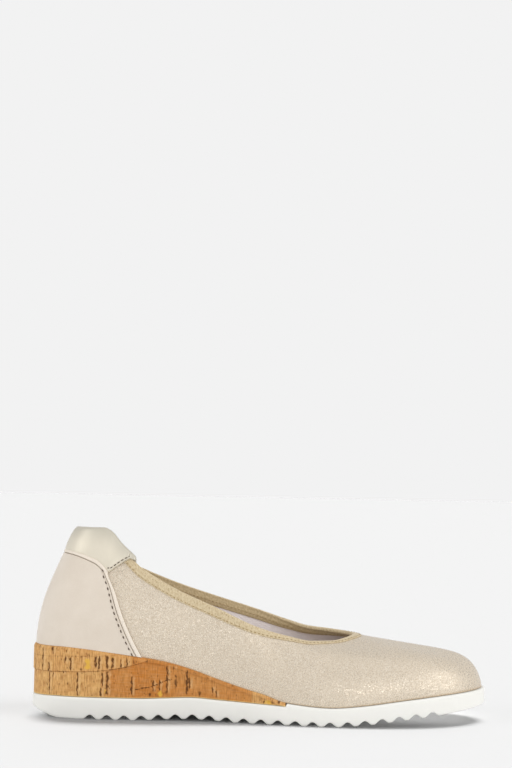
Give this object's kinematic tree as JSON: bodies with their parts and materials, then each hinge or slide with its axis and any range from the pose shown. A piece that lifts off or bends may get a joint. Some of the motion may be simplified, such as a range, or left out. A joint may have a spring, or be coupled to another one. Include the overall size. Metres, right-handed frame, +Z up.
{
  "type": "slip-on wedge shoe",
  "caption": "Right ballerina slip-on shoe with a low-cut upper, padded heel collar and bound topline on a cork-wrapped wedge and a rippled white sole.",
  "frame": {"origin": "on the floor, under the middle of the sole", "axes": "+X towards the toe, +Y towards the medial side, +Z up"},
  "size_m": [0.2559, 0.0852, 0.1043],
  "materials": {
    "outsole": "matte foamed rubber",
    "cork": "cork veneer",
    "insole": "soft lining leather",
    "upper": "shimmer suede",
    "counter": "nubuck",
    "collar": "padded pearl leather",
    "binding": "woven gold tape"
  },
  "bodies": {
    "root": {"outsole": "outsole", "cork_wedge": "cork", "insole": "insole", "upper": "upper", "heel_counter": "counter", "counter_strip": "counter", "heel_collar": "collar", "topline_binding": "binding"}
  },
  "joints": []
}
